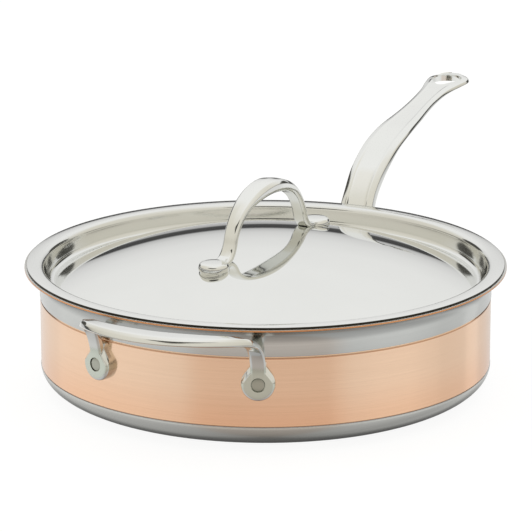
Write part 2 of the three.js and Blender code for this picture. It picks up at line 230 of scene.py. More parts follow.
def drawn_out(name, section, stations):
    """A bar: a closed section of (across, up) shares is filled and extruded straight, once for
    each station, then each ring is sized, rolled, leaned, turned and carried to its station."""
    piece = start_piece(name)
    count = len(section)
    draw_outline([(0, across * MM, up * MM) for across, up in section], True)
    bpy.ops.mesh.edge_face_add()
    for _ in stations[1:]:
        extrude((MM, 0, 0))
    for ring, (place, (roll, lean, turn), width, thick) in enumerate(stations):
        select_vertices(piece, lambda v: ring * count <= v.index < (ring + 1) * count)
        home = (ring * MM, 0, 0)
        bpy.ops.transform.resize(value=(1, width / 2, thick / 2), center_override=home)
        turn_about(roll, "X", home)
        turn_about(-lean, "Y", home)
        turn_about(turn, "Z", home)
        move(Vector(place) * MM - Vector(home))
    close_up()
    bpy.ops.object.mode_set(mode="OBJECT")
    return piece


def stations_along(run):
    """Stations from a run of (x, y, z, width's turn from -X, width, thickness): each ring faces
    along the run, with its width as near as it can be to the direction asked for."""
    stations = []
    last = len(run) - 1
    for i, (x, y, z, side_turn, width, thick) in enumerate(run):
        behind, ahead = Vector(run[max(i - 1, 0)][:3]), Vector(run[min(i + 1, last)][:3])
        along = (ahead - behind).normalized()
        side = Vector((-cos(radians(side_turn)), sin(radians(side_turn)), 0))
        side = (along.cross(side)).cross(along).normalized()
        turn = atan2(along.y, along.x) if hypot(along.x, along.y) > 1e-6 else 0
        level_side = Vector((-sin(turn), cos(turn), 0))
        roll = atan2(side.dot(along.cross(level_side)), side.dot(level_side))
        stations.append(((x, y, z), (roll, asin(along.z), turn), width, thick))
    return stations


def combine(piece, other, operation):
    """Cuts a second shape out of a piece, or joins it on, and removes the second shape."""
    boolean = piece.modifiers.new("combined", "BOOLEAN")
    boolean.operation = operation
    boolean.solver = "EXACT"
    boolean.object = other
    apply_modifiers(piece)
    bpy.data.objects.remove(other)


def place_piece(piece, turns, shift):
    """Takes a piece through its first (angle, axis) turn, its shift and its other turns, in its
    mesh."""
    take_up(piece, edit=True)
    bpy.ops.mesh.select_all(action="SELECT")
    for angle, axis in turns[:1]:
        turn_about(angle, axis)
    move(Vector(shift) * MM)
    for angle, axis in turns[1:]:
        turn_about(angle, axis)
    bpy.ops.object.mode_set(mode="OBJECT")
    clear_selection()


def copy_of(piece, name):
    twin = piece.copy()
    twin.data = piece.data.copy()
    twin.name = name
    twin.data.name = name
    bpy.context.scene.collection.objects.link(twin)
    return twin


def settle(piece, body, material, slot, *nodes):
    """Puts a finished piece on its body, in its finish, in place of its frame nodes."""
    piece.data.materials.clear()
    piece.data.materials.append(material)
    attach(piece, body)
    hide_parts(*nodes)


# ---------------------------------------------------------------------------------------------
# Curves
# ---------------------------------------------------------------------------------------------

def arc(centre, radii, start, end, steps):
    """Points along part of an ellipse, from one angle to another in degrees."""
    angles = [radians(start + (end - start) * i / steps) for i in range(steps + 1)]
    return [(centre[0] + radii[0] * cos(a), centre[1] + radii[1] * sin(a)) for a in angles]


def through(points, parts):
    """A smooth run through given points, with each stretch split into equal parts."""
    run = []
    last = len(points) - 1
    for i in range(last):
        before, here = points[max(i - 1, 0)], points[i]
        ahead, beyond = points[i + 1], points[min(i + 2, last)]
        for part in range(parts):
            t = part / parts
            run.append(tuple(
                0.5 * (2 * b + (c - a) * t + (2 * a - 5 * b + 4 * c - d) * t ** 2
                       + (3 * b - a - 3 * c + d) * t ** 3)
                for a, b, c, d in zip(before, here, ahead, beyond)))
    return run + [tuple(points[-1])]


def rounded_section(corners, radius, steps=3):
    """A section of shares whose corners are each rounded over a share of their sides."""
    section = []
    count = len(corners)
    for i, corner in enumerate(corners):
        here = Vector(corner)
        before = (Vector(corners[i - 1]) - here) * radius
        after = (Vector(corners[(i + 1) % count]) - here) * radius
        for step in range(steps):
            t = step / (steps - 1)
            section.append(here + before * (1 - t) ** 2 + after * t ** 2)
    return [(point.x, point.y) for point in section]


# ---------------------------------------------------------------------------------------------
# Pan body
# ---------------------------------------------------------------------------------------------

def base_skin(depth, steps=14):
    centre = WALL_RADIUS - CORNER_REACH
    reach = (CORNER_REACH - depth, CORNER_HEIGHT - depth)
    return [(0, depth), (60, depth)] + arc((centre, CORNER_HEIGHT), reach, -90, 0, steps)


def flare_skin(depth, crest, top, steps=12):
    foot = WALL_RADIUS - depth
    return arc((crest, FLARE_BOTTOM), (foot - crest, top - FLARE_BOTTOM), 0, 90, steps)


def base_shell():
    """The steel base with a rolled upper edge, so that a fine groove is left under the copper."""
    outside = base_skin(0)
    outside[-1] = (WALL_RADIUS, CORNER_HEIGHT - EDGE_ROLL)
    edge = [(WALL_RADIUS - EDGE_EASE, CORNER_HEIGHT - EDGE_EASE),
            (WALL_RADIUS - EDGE_ROLL, CORNER_HEIGHT)]
    return spun("base_shell", outside + edge + base_skin(COPPER_DEPTH + SKIN_GAP)[:-1][::-1])


def copper_skin():
    """The copper, proud in a fine step at each end, running on under the band to the lip."""
    outside = base_skin(COPPER_DEPTH)
    outside[-1] = (COPPER_FOOT, CORNER_HEIGHT + 0.05)
    wall = [(COPPER_FOOT, CORNER_HEIGHT + 0.15), (COPPER_FACE, CORNER_HEIGHT + 0.35),
            (COPPER_FACE, BAND_BOTTOM - 0.9), (COPPER_TUCK, BAND_BOTTOM - 0.5),
            (COPPER_TUCK, BAND_BOTTOM)]
    flare = flare_skin(COPPER_DEPTH, COPPER_CREST, LIP_COPPER)
    lip = [(RIM_RADIUS - LIP_EASE, LIP_COPPER), (RIM_RADIUS, LIP_COPPER + EDGE_EASE),
           (RIM_RADIUS, LIP_LINER - EDGE_EASE), (RIM_RADIUS - LIP_EASE, LIP_LINER)]
    inside = base_skin(CORE_DEPTH) + flare_skin(CORE_DEPTH, RIM_CREST, LIP_LINER)
    return spun("copper_skin", outside + wall + flare + lip + inside[::-1])


def core():
    start = CORE_DEPTH + PLY_GAP
    outside = base_skin(start) + flare_skin(start, RIM_CREST, LIP_LINER)
    inside = base_skin(LINER_DEPTH) + flare_skin(LINER_DEPTH, RIM_CREST, LIP_LINER)
    return spun("core", outside + inside[:-1][::-1])


def liner():
    start = LINER_DEPTH + PLY_GAP
    outside = base_skin(start) + flare_skin(start, RIM_CREST, LIP_LINER)
    lip = [(RIM_RADIUS - LIP_EASE, LIP_LINER + PLY_GAP / 2),
           (RIM_RADIUS - LIP_EASE, RIM_TOP - LIP_EASE), (RIM_RADIUS - 3 * LIP_EASE, RIM_TOP)]
    inside = base_skin(INNER_DEPTH) + flare_skin(INNER_DEPTH, RIM_CREST, RIM_TOP)
    return spun("liner", outside + lip + inside[::-1])


def band():
    """The steel band: a rolled lower edge, a straight wall and the flare up to the lip."""
    bottom = BAND_BOTTOM + PLY_GAP
    edge = [(WALL_RADIUS - 0.5, bottom), (WALL_RADIUS - 0.2, bottom),
            (WALL_RADIUS - 0.05, BAND_BOTTOM + 0.12), (WALL_RADIUS, BAND_BOTTOM + EDGE_ROLL)]
    outside = flare_skin(0, RIM_RADIUS, RIM_UNDERSIDE, 16)
    inside = flare_skin(COPPER_DEPTH + SKIN_GAP, COPPER_CREST, LIP_COPPER)
    return spun("band", edge + outside + inside[::-1])


# ---------------------------------------------------------------------------------------------
# Rivets
# ---------------------------------------------------------------------------------------------

def rivet(name, face):
    """A rivet along +Z from inside the pan's wall out to a sunk, slightly domed head."""
    top = face - RIVET_SINK
    seat = WALL_RADIUS - INNER_DEPTH + RIVET_BITE
    profile = [(0, RIVET_INNER_FACE), (RIVET_SHANK, RIVET_INNER_FACE + 0.08)]
    profile += arc((RIVET_INNER - 1, RIVET_INNER_FACE + 0.9), (1, 0.8), -80, 0, 4)
    profile += [(RIVET_INNER, seat), (RIVET_SHANK, seat), (RIVET_SHANK, top - 1.8),
                (RIVET_HEAD, top - 1.6), (RIVET_HEAD, top - 0.55)]
    profile += arc((RIVET_HEAD - 0.5, top - 0.5), (0.5, 0.42), 0, 80, 4)
    profile += [(1.6, top), (0, top + 0.03)]
    return spun(name, profile, RIVET_TURNS)


def pointed_out(piece, turn, height, across=0):
    """Lays a piece made along +Z so that it points outwards from the pan's axis."""
    place_piece(piece, [(pi / 2, "Y"), (turn, "Z")], (0, across, height))


# ---------------------------------------------------------------------------------------------
# Long handle
# ---------------------------------------------------------------------------------------------

# Distance from the axis, height, width and thickness along the middle of the casting
HANDLE_SPINE = (
    (132.2, 19.9, 4, 5.2), (132.2, 20.5, 9.5, 5.4), (132.2, 22.5, 17, 5.4), (132.2, 27, 23, 5.4),
    (132.2, 34, 26.5, 5.4), (132.4, 44, 27, 5.6), (133.3, 52, 25.5, 6), (137.3, 61, 23.5, 7.5),
    (143.8, 70.5, 22, 9), (150.5, 79, 21.5, 9.5), (160.5, 88, 22.8, 8.5),
    (172.8, 95, 23.5, 6.6), (185, 100.2, 23.7, 5.4), (199.2, 103.9, 23.5, 4.8),
    (212.3, 106.3, 22.4, 4.6), (227, 108.1, 20.3, 4.6), (241.2, 110.1, 18.1, 4.6),
    (257.3, 112.5, 16.9, 4.6), (276, 115, 18.4, 4.6), (289.8, 116.4, 23.4, 4.4),
    (299, 117, 26.6, 4.2), (304.5, 117.3, 27.6, 4.2), (309, 117.5, 26, 4.2),
    (313, 117.7, 20.5, 4.2), (315.4, 117.8, 12, 4.2), (316.2, 117.85, 5, 4.0),
)
# A sunk flat panel on top between two fine ridges, flanks that lean in, and a rounded underside
PANEL_SECTION = (
    (0.62, 1), (0.5, 0.78), (-0.5, 0.78), (-0.62, 1), (-0.935, 0.5), (-1, -0.35), (-0.7, -1),
    (0.7, -1), (1, -0.35), (0.935, 0.5))


def hang_hole():
    """A teardrop cutter, drawn as two arcs and extruded upwards through the handle's end."""
    tangent = 180 - degrees(acos((HOLE_WIDE - HOLE_NARROW) / (HOLE_WIDE_AT - HOLE_NARROW_AT)))
    outline = arc((HOLE_WIDE_AT, 0), (HOLE_WIDE, HOLE_WIDE), -tangent, tangent, 48)
    outline += arc((HOLE_NARROW_AT, 0), (HOLE_NARROW, HOLE_NARROW), tangent, 360 - tangent, 16)
    cutter = start_piece("hang_hole_cutter")
    draw_outline([(x * MM, y * MM, HOLE_CUT_FROM * MM) for x, y in outline], True)
    bpy.ops.mesh.edge_face_add()
    extrude((0, 0, HOLE_CUT_RISE * MM))
    close_up()
    bpy.ops.object.mode_set(mode="OBJECT")
    return cutter


def fill_panel(piece, count):
    """Lifts the panel's floor level with its ridges at the handle's end, before it is smoothed."""
    take_up(piece, edit=True)
    select_vertices(piece, lambda v: v.co.x > PANEL_END * MM and v.index % count in PANEL_FLOOR)
    move((0, 0, PANEL_SUNK * MM))
    bpy.ops.object.mode_set(mode="OBJECT")


def rivet_seat(face, turn, height, across=0):
    """The cutter for a sunk rivet's seat."""
    radius = RIVET_HEAD + RIVET_ROOM
    bottom, top = face - SEAT_BELOW, face + SEAT_ABOVE
    profile = [(0, bottom), (radius, bottom), (radius, top), (0, top)]
    cutter = spun("seat", profile, RIVET_TURNS)
    pointed_out(cutter, turn, height, across)
    return cutter


def long_handle():
    section = rounded_section(PANEL_SECTION, 0.12)
    run = through([(x, 0, z, 90, width, thick) for x, z, width, thick in HANDLE_SPINE], 3)
    piece = drawn_out("long_handle_casting", section, stations_along(run))
    fill_panel(piece, len(section))
    smooth(piece)
    combine(piece, hang_hole(), "DIFFERENCE")
    for across, height in PAD_RIVETS:
        combine(piece, rivet_seat(PAD_FACE, 0, height, across), "DIFFERENCE")
    return finish_piece(piece, CAST_SHARP)


# ---------------------------------------------------------------------------------------------
# Helper handle
# ---------------------------------------------------------------------------------------------

# Half of the loop from the middle of the bar down into the lug: x, y, z, the turn of the width
# away from -X in degrees, width and thickness
LOOP_HALF = (
    (-159, 0, 71.2, 0, 14, 4.6), (-158, 13, 71.2, 6, 13.6, 4.6), (-155.3, 25, 71.1, 14.5, 12, 4.6),
    (-150.8, 35.5, 70.7, 30, 10, 4.6), (-145, 43, 69.9, 53, 9, 4.5),
    (-138, 47, 67.9, 78, 8.7, 4.4), (-130.8, 48.7, 63.5, 99, 8.7, 4.4),
    (-126.4, 48.7, 57.2, 109, 8.7, 4.4), (-124.1, 48.3, 50.5, 111.25, 8.7, 4.4),
    (-123.5, 48, 45, 111.25, 8.7, 4.4), (-123.4, 47.95, 40, 111.25, 8.7, 4.4),
)
LOOP_SECTION = (
    (0.56, 1), (-0.8, 1), (-1, 0.5), (-1, -0.6), (-0.72, -1), (0.78, -1), (1, -0.62), (0.84, 0.35))


def lug(side):
    """A round lug whose hips run straight up to the strap, chamfered there, made along +Z with
    its top towards -X, then laid against the wall. side is -1 or 1."""
    back, front = WALL_RADIUS - LUG_SINK, LUG_FACE
    hip = degrees(atan2(HIP_ACROSS, HIP_UP))
    outline = arc((0, 0), (LUG_RADIUS, LUG_RADIUS), hip - 180, 180 - hip, 56)
    reach = (LUG_RADIUS - HIP_ACROSS * NECK_HALF) / HIP_UP
    outline += [(-reach, NECK_HALF), (-NECK_END, NECK_HALF)]
    outline += [(-NECK_END, -NECK_HALF), (-reach, -NECK_HALF)]
    piece = start_piece("lug")
    draw_outline([(x * MM, y * MM, back * MM) for x, y in outline], True)
    bpy.ops.mesh.edge_face_add()
    extrude((0, 0, (front - back - LUG_ROUND) * MM))
    before = (LUG_RADIUS, 0)
    for point in arc((LUG_RADIUS - LUG_ROUND, 0), (LUG_ROUND, LUG_ROUND), 0, 90, 6)[1:]:
        extrude((0, 0, (point[1] - before[1]) * MM))
        share = point[0] / before[0]
        bpy.ops.transform.resize(value=(share, share, 1), center_override=(0, 0, 0))
        before = point
    close_up()
    for across in (-1, 1):
        bpy.ops.mesh.select_all(action="SELECT")
        place = (-HIP_UP * LUG_CHEEK * MM, across * HIP_ACROSS * LUG_CHEEK * MM, front * MM)
        bpy.ops.mesh.bisect(
            plane_co=place, plane_no=(-HIP_UP, across * HIP_ACROSS, CHEEK_SLOPE),
            use_fill=True, clear_outer=True)
    bpy.ops.object.mode_set(mode="OBJECT")
    pointed_out(piece, pi + side * LUG_TURN, LUG_HEIGHT)
    return piece


def helper_handle():
    other_half = [
        (x, -y, z, -turn, width, thick) for x, y, z, turn, width, thick in LOOP_HALF[:0:-1]]
    run = through([*other_half, *LOOP_HALF], 4)
    section = rounded_section(LOOP_SECTION, 0.14)
    piece = drawn_out("helper_handle_casting", section, stations_along(run))
    smooth(piece)
    for side in (-1, 1):
        combine(piece, lug(side), "UNION")
        seat = rivet_seat(LUG_FACE, pi + side * LUG_TURN, LUG_HEIGHT)
        combine(piece, seat, "DIFFERENCE")
    return finish_piece(piece, CAST_SHARP)


# ---------------------------------------------------------------------------------------------
# Lid
# ---------------------------------------------------------------------------------------------

def dome_height(radius):
    return DOME_CROWN - DOME_FALL * radius ** 2 - DOME_CURL * radius ** 4


def lid_skin(depth):
    radii = [DOME_STEP * i for i in range(DOME_RINGS)] + [DOME_EDGE]
    dome = [(r, dome_height(r) - depth) for r in radii]
    reach = CHANNEL_RADIUS + depth
    channel = arc((CHANNEL_AT, CHANNEL_HEIGHT), (reach, reach), CHANNEL_END, 0, 14)
    bend = SHOULDER_RADIUS - depth
    shoulder = arc((SHOULDER_AT, LID_TOP - SHOULDER_RADIUS), (bend, bend), 180, 90, 10)
    return dome + channel + shoulder


def lid_sheet():
    edge = [(LID_RADIUS - 0.3, LID_TOP), (LID_RADIUS - 0.06, LID_TOP - 0.1),
            (LID_RADIUS, LID_TOP - 0.3), (LID_RADIUS, LID_TOP - 0.85),
            (LID_RADIUS - 0.08, LID_TOP - 1.03), (LID_RADIUS - 0.3, LID_TOP - LID_SHEET)]
    profile = lid_skin(0) + edge + lid_skin(LID_SHEET)[::-1]
    return spun("lid_sheet", profile, LID_TURNS, LID_SHARP)


# Half of the arch from its crown to the foot: along, height, width and thickness
ARCH_HALF = (
    (0, 117.4, 14.6, 7.8), (11, 116.2, 14, 7.2), (20.5, 113.3, 12.4, 6), (28.5, 109, 10.4, 5),
    (34.3, 103.4, 9.2, 4.4), (38.2, 97, 8.7, 4.2), (40, 91.6, 8.7, 4.2), (41.8, 88, 8.8, 4.2),
    (44.8, 85, 9, 3.9), (48.6, 83.9, 9.4, 3.4), (53, 83.2, 9.4, 3.2),
)
ARCH_SECTION = (
    (0.7, 0.94), (0, 1.06), (-0.7, 0.94), (-1, 0.4), (-1, -0.5), (-0.72, -1), (0.72, -1),
    (1, -0.5), (1, 0.4))


def foot(side):
    """A round foot: its top edge rounded, its underside cut to lie on the dome's slope."""
    slope = (dome_height(FOOT_REACH - 1) - dome_height(FOOT_REACH + 1)) / 2
    profile = [(0, FOOT_BOTTOM), (FOOT_RADIUS - 1, FOOT_BOTTOM), (FOOT_RADIUS - 0.9, 80.4)]
    profile += arc((FOOT_RADIUS - 1, 82), (1, 1), -70, 0, 5)
    profile += arc((FOOT_RADIUS - 2.6, FOOT_TOP - 2.9), (2.6, 2.8), 3, 82, 10)
    profile += [(3.5, FOOT_TOP - 0.03), (0, FOOT_TOP)]
    piece = spun("foot", profile, FOOT_TURNS)
    place_piece(piece, [], (side * FOOT_REACH, 0, 0))
    take_up(piece, edit=True)
    bpy.ops.mesh.select_all(action="SELECT")
    bpy.ops.mesh.bisect(
        plane_co=(side * FOOT_REACH * MM, 0, (dome_height(FOOT_REACH) - FOOT_SINK) * MM),
        plane_no=(-side * slope, 0, -1), use_fill=True, clear_outer=True)
    bpy.ops.object.mode_set(mode="OBJECT")
    return piece


def lid_handle():
    half = [(x, 0, z, 90, width, thick) for x, z, width, thick in ARCH_HALF]
    other_half = [(-x, y, z, turn, width, thick) for x, y, z, turn, width, thick in half[:0:-1]]
    run = through([*other_half, *half], 4)
    section = rounded_section(ARCH_SECTION, 0.16)
    piece = drawn_out("lid_handle_casting", section, stations_along(run))
    smooth(piece)
    for side in (-1, 1):
        combine(piece, foot(side), "UNION")
    place_piece(piece, [(LID_TURN, "Z")], (0, 0, 0))
    return finish_piece(piece, CAST_SHARP)


def lid_rivet(name, side):
    """A low rivet head against the underside of the dome, with its stem up into the foot."""
    crown = dome_height(FOOT_REACH) - LID_SHEET
    profile = [(0, crown - 1.5), (3, crown - 1.4)] + arc((3.6, crown - 0.7), (0.9, 0.7), -80, 0, 4)
    profile += [(LID_RIVET_HEAD, crown + 0.9), (LID_RIVET_STEM, crown + 0.9)]
    profile += [(LID_RIVET_STEM, FOOT_TOP - 2.2), (0, FOOT_TOP - 2.2)]
    piece = spun(name, profile, RIVET_TURNS)
    place_piece(piece, [], (side * FOOT_REACH, 0, 0))
    place_piece(piece, [(LID_TURN, "Z")], (0, 0, 0))
    return piece


# ---------------------------------------------------------------------------------------------
# Finishes
# ---------------------------------------------------------------------------------------------

ROUND_AXIS = 0.25  # anisotropic rotation: brushed the way the piece was turned
BRUSHING = 0.7  # how strongly the brush lines stretch a highlight
BRUSH_ROUND, BRUSH_FINE = 0.4, 900.0  # spread of the brush lines' pattern round and across
BRUSH_BITE, BRUSH_DEPTH = 0.03, 0.01  # bump strength, and depth in millimetres
HAZE_TONE, HAIRLINE_ROUGH = 0.94, 0.04
FOOT_SHADE = (12, 42)  # heights between which a painted shade at the foot fades out
EDGE_SHADE = (0.25, 0.05)  # how far in from the lid's edge the painted shade starts and is full
RECESS_HAZE = (108, 118)  # radii over which the lid's recess grows a little duller
SATIN_LUGS = (54, 49.5)  # heights between which the lugs' satin comes in


class Nodes:
    """Adds nodes to a tree and links them, left to right."""

    def __init__(self, tree):
        self.tree = tree

    def add(self, kind, inputs=(), **settings):
        node = self.tree.nodes.new(kind)
        for setting, value in settings.items():
            setattr(node, setting, value)
        for key, value in dict(inputs).items():
            self.feed(node, key, value)
        return node

    def feed(self, node, key, value):
        """Sets a socket to a number, or links it to another node's output."""
        if isinstance(value, bpy.types.NodeSocket):
            self.tree.links.new(value, node.inputs[key])
        else:
            node.inputs[key].default_value = value

    def math(self, operation, *values):
        return self.add("ShaderNodeMath", enumerate(values), operation=operation).outputs[0]

    def length(self, x, y):
        return self.math(
            "SQRT", self.math("ADD", self.math("POWER", x, 2), self.math("POWER", y, 2)))

    def blend(self, share, low, high):
        node = self.add("ShaderNodeMix", data_type="RGBA")
        for key, value in ((0, share), (6, low), (7, high)):
            self.feed(node, key, value)
        return node.outputs[2]

    def tint(self, colour, other):
        node = self.add("ShaderNodeMix", data_type="RGBA", blend_type="MULTIPLY")
        for key, value in ((0, 1.0), (6, colour), (7, other)):
            self.feed(node, key, value)
        return node.outputs[2]

    def between(self, value, low, high, at_low=0.0, at_high=1.0):
        """A value run smoothly from one number to another as it goes from low to high."""
        node = self.add("ShaderNodeMapRange", interpolation_type="SMOOTHSTEP")
        for key, item in enumerate((value, low, high, at_low, at_high)):
            self.feed(node, key, item)
        return node.outputs[0]

    def noise(self, place, scale, detail, roughness=0.55):
        inputs = {"Vector": place, "Scale": scale, "Detail": detail, "Roughness": roughness}
        return self.add("ShaderNodeTexNoise", inputs).outputs[0]


def new_group(name, inputs, outputs):
    tree = bpy.data.node_groups.new(name, "ShaderNodeTree")
    for label, kind, value in inputs:
        socket = tree.interface.new_socket(label, in_out="INPUT", socket_type=kind)
        if value is not None:
            socket.default_value = value
    for label, kind in outputs:
        tree.interface.new_socket(label, in_out="OUTPUT", socket_type=kind)
    nodes = Nodes(tree)
    return tree, nodes, nodes.add("NodeGroupInput").outputs, nodes.add("NodeGroupOutput")


def turned_brush_group():
    """Fine brush lines running round the pan's axis, on walls and on floors alike."""
    tree, nodes, given, result = new_group(
        "turned_brush",
        [("Place", "NodeSocketVector", None)],
        [("Line", "NodeSocketFloat"), ("Drift", "NodeSocketFloat")])
    x, y, z = nodes.add("ShaderNodeSeparateXYZ", {0: given["Place"]}).outputs
    angle = nodes.math("ARCTAN2", y, x)
    across = nodes.math("ADD", z, nodes.length(x, y))
    around = nodes.math("MULTIPLY", nodes.math("SINE", angle), BRUSH_ROUND)
    turn = nodes.math("MULTIPLY", nodes.math("COSINE", angle), BRUSH_ROUND)
    line_place = nodes.add("ShaderNodeCombineXYZ", {0: around, 1: turn, 2: across}).outputs[0]
    stretched = nodes.add("ShaderNodeVectorMath", operation="MULTIPLY")
    nodes.feed(stretched, 0, line_place)
    nodes.feed(stretched, 1, (1.0, 1.0, BRUSH_FINE))
    nodes.feed(result, "Line", nodes.noise(stretched.outputs[0], 3.0, 6.0, 0.7))
    nodes.feed(result, "Drift", nodes.noise(given["Place"], 14.0, 3.0))
    return tree


def seam_shade_group():
    """A mask for a fine line round the pan at one height, along which a darker tone is painted in
    as painted shade.
    """
    tree, nodes, given, result = new_group(
        "seam_shade",
        [("Place", "NodeSocketVector", None), ("Height", "NodeSocketFloat", 0.0),
         ("Half width", "NodeSocketFloat", 0.001)],
        [("Mask", "NodeSocketFloat")])
    height = nodes.add("ShaderNodeSeparateXYZ", {0: given["Place"]}).outputs[2]
    away = nodes.math("ABSOLUTE", nodes.math("SUBTRACT", height, given["Height"]))
    share = nodes.math("DIVIDE", away, given["Half width"])
    nodes.feed(result, "Mask", nodes.between(share, 1.0, 0.4))
    return tree


def polish_group():
    """What polishing leaves on a casting or a pressing: faint cloudy haze, hairlines and a soft
    unevenness that bends reflections a little."""
    tree, nodes, given, result = new_group(
        "polish",
        [("Place", "NodeSocketVector", None), ("Scale", "NodeSocketFloat", 1.0)],
        [("Haze", "NodeSocketFloat"), ("Hairline", "NodeSocketFloat"),
         ("Swell", "NodeSocketFloat")])
    scaled = nodes.add("ShaderNodeVectorMath", operation="SCALE")
    nodes.feed(scaled, 0, given["Place"])
    nodes.feed(scaled, "Scale", given["Scale"])
    place = scaled.outputs[0]
    nodes.feed(result, "Haze", nodes.noise(place, 30.0, 3.0))
    drawn = nodes.add("ShaderNodeMapping", {"Vector": place, "Scale": (1.0, 18.0, 18.0)}).outputs[0]
    nodes.feed(result, "Hairline", nodes.between(nodes.noise(drawn, 160.0, 5.0, 0.7), 0.58, 0.72))
    nodes.feed(result, "Swell", nodes.noise(place, 55.0, 1.0))
    return tree


def metal(name, roughness, anisotropy=0.0):
    """A metal's material, its nodes, its shader and the place on the piece."""
    material = bpy.data.materials.new(name)
    material.use_nodes = True
    nodes = Nodes(material.node_tree)
    shader = material.node_tree.nodes["Principled BSDF"]
    shader.inputs["Metallic"].default_value = 1.0
    shader.inputs["Roughness"].default_value = roughness
    if anisotropy:
        shader.inputs["Anisotropic"].default_value = anisotropy
        shader.inputs["Anisotropic Rotation"].default_value = ROUND_AXIS
        round_axis = nodes.add("ShaderNodeTangent", direction_type="RADIAL", axis="Z")
        nodes.feed(shader, "Tangent", round_axis.outputs[0])
    place = nodes.add("ShaderNodeTexCoord").outputs["Object"]
    return material, nodes, shader, place


def use_group(nodes, group, inputs):
    node = nodes.add("ShaderNodeGroup")
    node.node_tree = group
    for key, value in inputs.items():
        nodes.feed(node, key, value)
    return node.outputs


def bumped(nodes, shader, height, strength, distance):
    inputs = {"Height": height, "Strength": strength, "Distance": distance}
    nodes.feed(shader, "Normal", nodes.add("ShaderNodeBump", inputs).outputs[0])


def brushed(name, groups, light, dark, roughness, seams=(), foot=(1, 1, 1), spread=0.06):
    """A metal brushed round the pan, painted darker and warmer towards its foot as painted shade,
    with a darker tone painted into its seams as painted shade: (height, half width, tone)."""
    material, nodes, shader, place = metal(name, roughness, BRUSHING)
    brush = use_group(nodes, groups["brush"], {"Place": place})
    share = nodes.between(brush["Line"], 0.3, 0.7)
    upward = nodes.add("ShaderNodeSeparateXYZ", {0: place}).outputs[2]
    # painted shade: the colour is multiplied darker and warmer towards the foot
    rise = nodes.between(upward, FOOT_SHADE[0] * MM, FOOT_SHADE[1] * MM)
    tint = nodes.blend(rise, foot + (1,), (1, 1, 1, 1))
    colour = nodes.tint(nodes.blend(share, dark + (1,), light + (1,)), tint)
    soft = nodes.math("MULTIPLY_ADD", brush["Drift"], spread, roughness - spread / 2)
    rough = nodes.math("MULTIPLY_ADD", share, -spread, nodes.math("ADD", soft, spread / 2))
    # painted shade: each seam's darker tone is blended over the metal's colour
    for height, half_width, tone in seams:
        inputs = {"Place": place, "Height": height * MM, "Half width": half_width * MM}
        seam_shade = use_group(nodes, groups["seam_shade"], inputs)
        colour = nodes.blend(seam_shade["Mask"], colour, tone + (1,))
    nodes.feed(shader, "Base Color", colour)
    nodes.feed(shader, "Roughness", rough)
    bumped(nodes, shader, brush["Line"], BRUSH_BITE, BRUSH_DEPTH * MM)
    return material


def polished(name, groups, colour, roughness, scale=1.0, swell=0.05, spread=0.05):
    material, nodes, shader, place = metal(name, roughness)
    polish = use_group(nodes, groups["polish"], {"Place": place, "Scale": scale})
    dull = tuple(HAZE_TONE * value for value in colour)
    nodes.feed(shader, "Base Color", nodes.blend(polish["Haze"], dull + (1,), colour + (1,)))
    haze = nodes.math("MULTIPLY_ADD", polish["Haze"], spread, roughness - spread / 2)
    nodes.feed(shader, "Roughness", nodes.math(
        "MULTIPLY_ADD", polish["Hairline"], HAIRLINE_ROUGH, haze))
    bumped(nodes, shader, polish["Swell"], swell, 1 * MM)
    return material, nodes, shader, place


def overlaid(nodes, shader, share, colour, rougher):
    """Another tone and more roughness over a share of a polished piece."""
    old = shader.inputs["Base Color"].links[0].from_socket
    nodes.feed(shader, "Base Color", nodes.blend(share, old, colour + (1,)))
    rough = shader.inputs["Roughness"].links[0].from_socket
    nodes.feed(shader, "Roughness", nodes.math("MULTIPLY_ADD", share, rougher, rough))


def mirror_steel(groups):
    """The lid: mirror polished, with a near-black, rougher band of painted shade along the edge of
    the sheet.
    """
    material, nodes, shader, place = polished(
        "mirror_steel", groups, (0.80, 0.805, 0.78), 0.04, 0.6, 0.006, 0.02)
    x, y, _ = nodes.add("ShaderNodeSeparateXYZ", {0: place}).outputs
    reach = nodes.length(x, y)
    edge = nodes.between(reach, *((LID_RADIUS - depth) * MM for depth in EDGE_SHADE))
    haze = nodes.between(reach, *(radius * MM for radius in RECESS_HAZE), 0.0, 0.05)
    rough = nodes.math("ADD", shader.inputs["Roughness"].links[0].from_socket, haze)
    nodes.feed(shader, "Roughness", rough)
    # painted shade: the sheet's edge is painted near black, standing in for the dark line under the
    # flange
    overlaid(nodes, shader, edge, (0.05, 0.046, 0.036), 0.3)
    return material


def cast_steel(groups):
    """The handles: cast and polished, with the lugs' fronts left satin."""
    material, nodes, shader, place = polished(
        "cast_steel", groups, (0.83, 0.835, 0.805), 0.07, 1.0, 0.035, 0.05)
    height = nodes.add("ShaderNodeSeparateXYZ", {0: place}).outputs[2]
    low = nodes.between(height, *(limit * MM for limit in SATIN_LUGS))
    normal = nodes.add("ShaderNodeNewGeometry").outputs["True Normal"]
    upward = nodes.add("ShaderNodeSeparateXYZ", {0: normal}).outputs[2]
    upright = nodes.between(nodes.math("ABSOLUTE", upward), 0.3, 0.15)
    overlaid(nodes, shader, nodes.math("MULTIPLY", low, upright), (0.60, 0.635, 0.555), 0.22)
    return material


